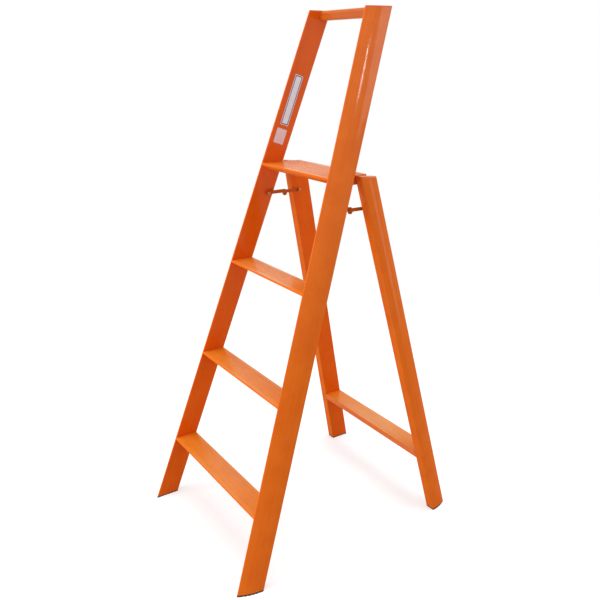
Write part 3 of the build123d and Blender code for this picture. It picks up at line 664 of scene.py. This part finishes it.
def printed_vinyl(name, tint):
    """Self-adhesive vinyl film with a flat printed face."""
    # Smooth and slightly glossy, with a faint quilting from the glue behind and the dulling of handling.
    smoothest, roughest = 0.26, 0.4
    quilt_relief, quilt_depth = 0.08, 0.07
    # Noise at which the film is clean and soiled, and how bright it is there
    clean, soiled = 0.3, 0.75
    lightest, darkest = 1.0, 0.9
    finish = finish_settings()
    material, tree = blank_material(name)
    point = add(tree, "TexCoord").outputs["Object"]
    quilt = add(
        tree, "TexNoise", {"Vector": point, "Scale": 1 / finish.vinyl_quilt, "Detail": SOFT}
    ).outputs["Fac"]
    soil = add(
        tree, "TexNoise", {"Vector": point, "Scale": 1 / finish.vinyl_soil, "Detail": ROUGH}
    ).outputs["Fac"]
    shade = add(
        tree,
        "MapRange",
        {"Value": soil, "From Min": clean, "From Max": soiled, "To Min": lightest, "To Max": darkest},
    ).outputs["Result"]
    tone = add(tree, "HueSaturation", {"Value": shade, "Color": tint}).outputs["Color"]
    roughness = add(
        tree, "MapRange", {"Value": soil, **NOISE_RANGE, "To Min": smoothest, "To Max": roughest}
    ).outputs["Result"]
    texture = add(
        tree,
        "Bump",
        {"Height": quilt, "Strength": quilt_relief, "Distance": quilt_depth * finish.vinyl_quilt},
    ).outputs["Normal"]
    shader = add(
        tree,
        "BsdfPrincipled",
        {"Base Color": tone, "Roughness": roughness, "IOR": VINYL_IOR, "Normal": texture},
    ).outputs[0]
    add(tree, "OutputMaterial", {"Surface": shader})
    return material


def studio_floor():
    """Matt painted floor, lifted to white for the eye and still holding the ladder's shadow."""
    # Nearly shadowless white close by, and plain white further off where the lamps fall away.
    # The speckle is finer on a real floor and is drawn coarser here so that it shows.
    darkest, lightest = 0.98, 1.0
    stage = bpy.context.scene.ladder_stage
    material, tree = blank_material("matt_studio_floor")
    point = add(tree, "TexCoord").outputs["Object"]
    speckle = add(
        tree, "TexNoise", {"Vector": point, "Scale": 1 / stage.floor_speckle, "Detail": FINE}
    ).outputs["Fac"]
    shade = add(
        tree, "MapRange", {"Value": speckle, **NOISE_RANGE, "To Min": darkest, "To Max": lightest}
    ).outputs["Result"]
    tone = add(tree, "HueSaturation", {"Value": shade, "Color": stage.floor}).outputs["Color"]
    paint = add(tree, "BsdfDiffuse", {"Color": tone}).outputs[0]
    seen = seen_rays(tree)
    lift = add(tree, "Math", {0: seen, 1: stage.floor_glow}, operation="MULTIPLY").outputs[0]
    glow = add(tree, "Emission", {"Color": WHITE, "Strength": lift}).outputs[0]
    near = add(tree, "AddShader", {0: paint, 1: glow}).outputs[0]
    far = add(tree, "Emission", {"Color": WHITE, "Strength": 1.0}).outputs[0]
    distance = add(tree, "VectorMath", {0: point}, operation="LENGTH").outputs["Value"]
    fade = add(
        tree,
        "MapRange",
        {"Value": distance, "From Min": stage.floor_near, "From Max": stage.floor_far},
        interpolation_type="SMOOTHSTEP",
    ).outputs["Result"]
    away = add(tree, "Math", {0: fade, 1: seen}, operation="MULTIPLY").outputs[0]
    shader = add(tree, "MixShader", {0: away, 1: near, 2: far}).outputs[0]
    add(tree, "OutputMaterial", {"Surface": shader})
    return material


class LADDER_OT_powder_coat(bpy.types.Operator):
    """Coat the stiles, legs and grip rail"""

    bl_idname = "ladder.powder_coat"
    bl_label = "Coat the Bars"

    def execute(self, context):
        finish = finish_settings()
        tones = (finish.coat, finish.coat_deep)
        # Painted shade tones for the inner faces of stiles and legs
        inner = (finish.inner_painted_shade, finish.inner_painted_shade_deep)
        stile_film = (finish.stile_film, finish.bar_film, finish.stile_haze)
        leg_film = (finish.leg_film, finish.bar_film, finish.leg_haze)
        for side, inwards in zip(SIDES, INWARDS):
            rise = bar_direction(f"front_foot_{side}", f"stile_cap_{side}")
            coat = powder_coat(f"powder_coat_stile_{side}", rise, stile_film, tones, inwards, inner)
            cover(coat, f"front_stile_{side}")
            rise = bar_direction(f"rear_foot_{side}", f"rear_leg_head_{side}")
            coat = powder_coat(f"powder_coat_leg_{side}", rise, leg_film, tones, inwards, inner)
            cover(coat, f"rear_leg_{side}")
        # Painted shade tones for the grip rail
        rail_shaded_tones = (finish.rail_painted_shade, finish.rail_painted_shade_deep)
        cover(powder_coat("powder_coat_rail", CROSSWAYS, stile_film, rail_shaded_tones), "grip_rail")
        return {"FINISHED"}


class LADDER_OT_treads(bpy.types.Operator):
    """Coat the treads, platform and crossbar, paint light and a pale sheen on their tops and wear them"""

    bl_idname = "ladder.treads"
    bl_label = "Coat and Wear the Treads"

    def execute(self, context):
        finish = finish_settings()
        tones = (finish.coat, finish.coat_deep)
        # Tops take the painted light tread tones
        trodden = (UPWARDS, (finish.tread_top_painted_light, finish.tread_top_painted_light_deep))
        # Shares of wear and painted pale sheen on each top
        wear = {
            "tread_1": finish.tread_wear_and_sheen,
            "tread_2": finish.tread_wear_and_sheen,
            "tread_3": finish.top_tread_wear_and_sheen,
            "platform": finish.platform_wear_and_sheen,
            "rear_crossbar": finish.crossbar_wear_and_sheen,
        }
        for name, worn in wear.items():
            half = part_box(name)[1][0]
            edge = finish.crossbar_film if name == "rear_crossbar" else finish.edge_film
            film = (finish.tread_film, edge, finish.tread_haze)
            cover(powder_coat(f"powder_coat_{name}", CROSSWAYS, film, tones, *trodden, worn, half), name)
        return {"FINISHED"}


class LADDER_OT_plugs(bpy.types.Operator):
    """Finish the moulded caps of the stiles and platform and the heads of the rear legs"""

    bl_idname = "ladder.plugs"
    bl_label = "Finish the Moulded Plugs"

    def execute(self, context):
        plastic = moulded_polypropylene()
        cover(plastic, *pair("stile_cap"), *pair("platform_end_cap"), *pair("rear_leg_head"))
        return {"FINISHED"}


class LADDER_OT_feet(bpy.types.Operator):
    """Finish the rubber feet"""

    bl_idname = "ladder.feet"
    bl_label = "Finish the Feet"

    def execute(self, context):
        cover(vulcanised_rubber(), *pair("front_foot"), *pair("rear_foot"))
        return {"FINISHED"}


class LADDER_OT_stays(bpy.types.Operator):
    """Finish the folding stays, their studs and knuckle pins, and the hinge axle"""

    bl_idname = "ladder.stays"
    bl_label = "Finish the Stays"

    def execute(self, context):
        finish = finish_settings()
        # Painted shade tones for the stays
        tones = (finish.stay, finish.stay_deep)
        film = (finish.leg_film, finish.bar_film, finish.leg_haze)
        coat = powder_coat("powder_coat_stays", LENGTHWAYS, film, tones)
        cover(coat, *pair("stay_front_link"), *pair("stay_rear_link"), *pair("knuckle_pin"))
        plate = (finish.zinc, finish.zinc_roughness, finish.zinc_grain)
        zinc = bare_metal("yellow_passivated_zinc_plate", *plate)
        cover(zinc, *pair("stay_stile_stud"), *pair("stay_leg_stud"), "hinge_axle")
        return {"FINISHED"}


class LADDER_OT_fittings(bpy.types.Operator):
    """Finish the brackets, rivets and hinge bushes"""

    bl_idname = "ladder.fittings"
    bl_label = "Finish the Fittings"

    def execute(self, context):
        finish = finish_settings()
        mill = (finish.aluminium, finish.mill_roughness, finish.mill_grain)
        drawn = (finish.aluminium, finish.rivet_roughness, finish.rivet_grain)
        bars = ["tread_1", "tread_2", "tread_3", "platform", "grip_rail", "crossbar"]
        brackets = [name for bar in bars for name in pair(f"{bar}_bracket")]
        cover(bare_metal("mill_finish_aluminium", *mill), *brackets)
        rivets = [*pair("stile_rivets"), *pair("leg_rivets"), "tread_rivets", "crossbar_rivets"]
        cover(bare_metal("set_rivet_aluminium", *drawn), *rivets)
        cover(turned_nylon(), *pair("hinge_bush"))
        return {"FINISHED"}


def rounded_loop(width, height, radius):
    """Points round a rectangle with rounded corners about the origin, in order, in two coordinates."""
    points = []
    for quarter, (sx, sy) in enumerate(((1, 1), (-1, 1), (-1, -1), (1, -1))):
        for step in range(CORNER_STEPS + 1):
            turn = math.pi / 2 * (quarter + step / CORNER_STEPS)
            points.append(
                (
                    sx * (width / 2 - radius) + radius * math.cos(turn),
                    sy * (height / 2 - radius) + radius * math.sin(turn),
                )
            )
    return points


def cut_face(node, top):
    """Lowest and highest corner of the level cut that ends a bar, at its top or at its bottom."""
    points = [vertex.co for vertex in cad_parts[node].data.vertices]
    level = max(p.z for p in points) if top else min(p.z for p in points)
    cut = [p for p in points if abs(p.z - level) < CUT_SLACK]
    return [Vector(pick(p[axis] for p in cut) for axis in range(3)) for pick in (min, max)]


def stile_face_middle(rise):
    """Middle of the left stile's inner face at a height above the floor."""
    ends = []
    for top in (False, True):
        low, high = cut_face("front_stile_left", top)
        ends.append(Vector((high.x, (low.y + high.y) / 2, low.z)))
    return ends[0].lerp(ends[1], (rise - ends[0].z) / (ends[1].z - ends[0].z))


def lay_label(name, size, rise, offset, materials):
    """Lay a film with a printed line round it on the left stile, at a height and a little to the front."""
    labels = bpy.context.scene.ladder_labels
    width, height = size
    up = (stile_face_middle(1.0) - stile_face_middle(0.0)).normalized()
    inward = Vector((up.z, 0.0, -up.x)).normalized()
    back = up.cross(inward)
    centre = stile_face_middle(rise) - back * offset
    insets = (0.0, labels.margin, labels.margin + labels.line)
    mesh = bpy.data.meshes.new(name)
    film = bmesh.new()
    rings = []
    for depth, inset in ((0.0, 0.0), *[(labels.thickness, inset) for inset in insets]):
        radius = max(labels.corner - inset, SHARPEST_CORNER * labels.corner)
        ring = []
        for across, along in rounded_loop(width - 2 * inset, height - 2 * inset, radius):
            ring.append(film.verts.new(centre + inward * depth + back * across + up * along))
        rings.append(ring)
    for outer, inner, paint in zip(rings, rings[1:], (FILM_SLOT, FILM_SLOT, LINE_SLOT)):
        for i in range(len(outer)):
            j = (i + 1) % len(outer)
            film.faces.new((outer[i], outer[j], inner[j], inner[i])).material_index = paint
    film.faces.new(rings[-1]).material_index = FILM_SLOT
    film.faces.new(list(reversed(rings[0]))).material_index = FILM_SLOT
    bmesh.ops.recalc_face_normals(film, faces=film.faces[:])
    film.to_mesh(mesh)
    film.free()
    for material in materials:
        mesh.materials.append(material)
    label = bpy.data.objects.new(name, mesh)
    bpy.context.scene.collection.objects.link(label)
    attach(label, "front_frame")


class LADDER_OT_labels(bpy.types.Operator):
    """Lay the two blank labels on the inner face of the left stile"""

    bl_idname = "ladder.labels"
    bl_label = "Lay the Labels"

    def execute(self, context):
        labels = context.scene.ladder_labels
        finish = finish_settings()
        white = printed_vinyl("printed_vinyl_white", finish.vinyl)
        border = printed_vinyl("printed_vinyl_border", finish.vinyl_border)
        pink = printed_vinyl("printed_vinyl_pink", finish.vinyl_pink)
        long_size = (labels.long_width, labels.long_height)
        lay_label("long_label", long_size, labels.long_rise, labels.long_offset, (white, border))
        small_size = (labels.small_width, labels.small_height)
        lay_label("small_label", small_size, labels.small_rise, labels.small_offset, (pink, pink))
        return {"FINISHED"}


def softbox(name, where, width, height, watts, target):
    """A soft rectangular lamp that faces a point."""
    lamp = bpy.data.lights.new(name, "AREA")
    lamp.shape = "RECTANGLE"
    lamp.size = width
    lamp.size_y = height
    lamp.energy = watts
    thing = bpy.data.objects.new(name, lamp)
    bpy.context.scene.collection.objects.link(thing)
    thing.location = where
    thing.rotation_euler = (Vector(target) - thing.location).to_track_quat("-Z", "Y").to_euler()


def lay_floor(stage):
    """Lay a plain square floor under the feet."""
    reach = stage.floor_reach
    mesh = bpy.data.meshes.new("studio_floor")
    corners = [(-reach, -reach, 0), (reach, -reach, 0), (reach, reach, 0), (-reach, reach, 0)]
    mesh.from_pydata(corners, [], [(0, 1, 2, 3)])
    mesh.materials.append(studio_floor())
    floor = bpy.data.objects.new("studio_floor", mesh)
    bpy.context.scene.collection.objects.link(floor)


def light_room(scene, stage):
    """Even light from all round, seen as plain white by the eye and in reflections."""
    world = bpy.data.worlds.new("studio_room")
    world.use_nodes = True
    tree = world.node_tree
    tree.nodes.clear()
    seen = seen_rays(tree)
    level = add(tree, "MapRange", {"Value": seen, "To Min": stage.room, "To Max": 1.0}).outputs["Result"]
    sky = add(tree, "Background", {"Color": WHITE, "Strength": level}).outputs[0]
    add(tree, "OutputWorld", {"Surface": sky})
    scene.world = world


def place_camera(scene, stage):
    """Stand the camera where the photograph was taken from."""
    turn, tilt, roll = stage.azimuth, stage.elevation, stage.roll
    behind = Vector((math.sin(turn) * math.cos(tilt), -math.cos(turn) * math.cos(tilt), math.sin(tilt)))
    right = Vector((math.cos(turn), math.sin(turn), 0.0))
    basis = Matrix((right, behind.cross(right), behind)).transposed()
    lens = bpy.data.cameras.new("camera")
    lens.sensor_width = SENSOR_WIDTH
    lens.lens = stage.focal_pixels * SENSOR_WIDTH / FRAME_WIDTH
    camera = bpy.data.objects.new("camera", lens)
    scene.collection.objects.link(camera)
    camera.matrix_world = (
        Matrix.Translation(Vector(stage.eye)) @ basis.to_4x4() @ Matrix.Rotation(roll, 4, "Z")
    )
    scene.camera = camera


class LADDER_OT_stage(bpy.types.Operator):
    """Set up the floor, the room light, the lamps and the camera"""

    bl_idname = "ladder.stage"
    bl_label = "Set Up the Stage"

    def execute(self, context):
        scene = context.scene
        stage = scene.ladder_stage
        lay_floor(stage)
        light_room(scene, stage)
        low, high = CAD_BOX
        heart = (Vector(low) + Vector(high)) / 2
        key = (stage.key_place, stage.key_size, stage.key_size, stage.key_power)
        softbox("key_softbox", *key, heart)
        overhead = (stage.top_place, stage.top_size, stage.top_size, stage.top_power)
        softbox("overhead_softbox", *overhead, heart)
        sheen = (stage.sheen_place, stage.sheen_size, stage.sheen_size, stage.sheen_power)
        softbox("sheen_softbox", *sheen, heart)
        glint = (stage.glint_place, stage.glint_width, stage.glint_height, stage.glint_power)
        softbox("glint_lamp", *glint, middle("stile_cap_right"))
        strip = (stage.strip_place, stage.strip_width, stage.strip_height, stage.strip_power)
        softbox("strip_lamp", *strip, Vector((0.0, 0.0, stage.strip_place[2])))
        place_camera(scene, stage)
        scene.view_settings.view_transform = "Standard"
        return {"FINISHED"}


OPERATORS = (
    LADDER_OT_powder_coat,
    LADDER_OT_treads,
    LADDER_OT_plugs,
    LADDER_OT_feet,
    LADDER_OT_stays,
    LADDER_OT_fittings,
    LADDER_OT_labels,
    LADDER_OT_stage,
)

SETTINGS = {"ladder_finish": LadderFinish, "ladder_labels": LadderLabels, "ladder_stage": LadderStage}


class LADDER_PT_panel(bpy.types.Panel):
    """Lists the steps that finish the ladder, and their settings"""

    bl_idname = "LADDER_PT_panel"
    bl_label = "Platform Step Ladder"
    bl_space_type = "VIEW_3D"
    bl_region_type = "UI"
    bl_category = "Ladder"

    def draw(self, context):
        for operator in OPERATORS:
            self.layout.operator(operator.bl_idname)
        for name, group in SETTINGS.items():
            box = self.layout.box()
            for setting in group.__annotations__:
                box.prop(getattr(context.scene, name), setting)


def register():
    for name, group in SETTINGS.items():
        bpy.utils.register_class(group)
        setattr(bpy.types.Scene, name, bpy.props.PointerProperty(type=group))
    for operator in OPERATORS:
        bpy.utils.register_class(operator)
    bpy.utils.register_class(LADDER_PT_panel)


def unregister():
    bpy.utils.unregister_class(LADDER_PT_panel)
    for operator in reversed(OPERATORS):
        bpy.utils.unregister_class(operator)
    for name, group in reversed(SETTINGS.items()):
        delattr(bpy.types.Scene, name)
        bpy.utils.unregister_class(group)


def main():
    """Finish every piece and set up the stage."""
    register()
    bpy.ops.ladder.powder_coat()
    bpy.ops.ladder.treads()
    bpy.ops.ladder.plugs()
    bpy.ops.ladder.feet()
    bpy.ops.ladder.stays()
    bpy.ops.ladder.fittings()
    bpy.ops.ladder.labels()
    bpy.ops.ladder.stage()


if __name__ == "__main__":
    main()
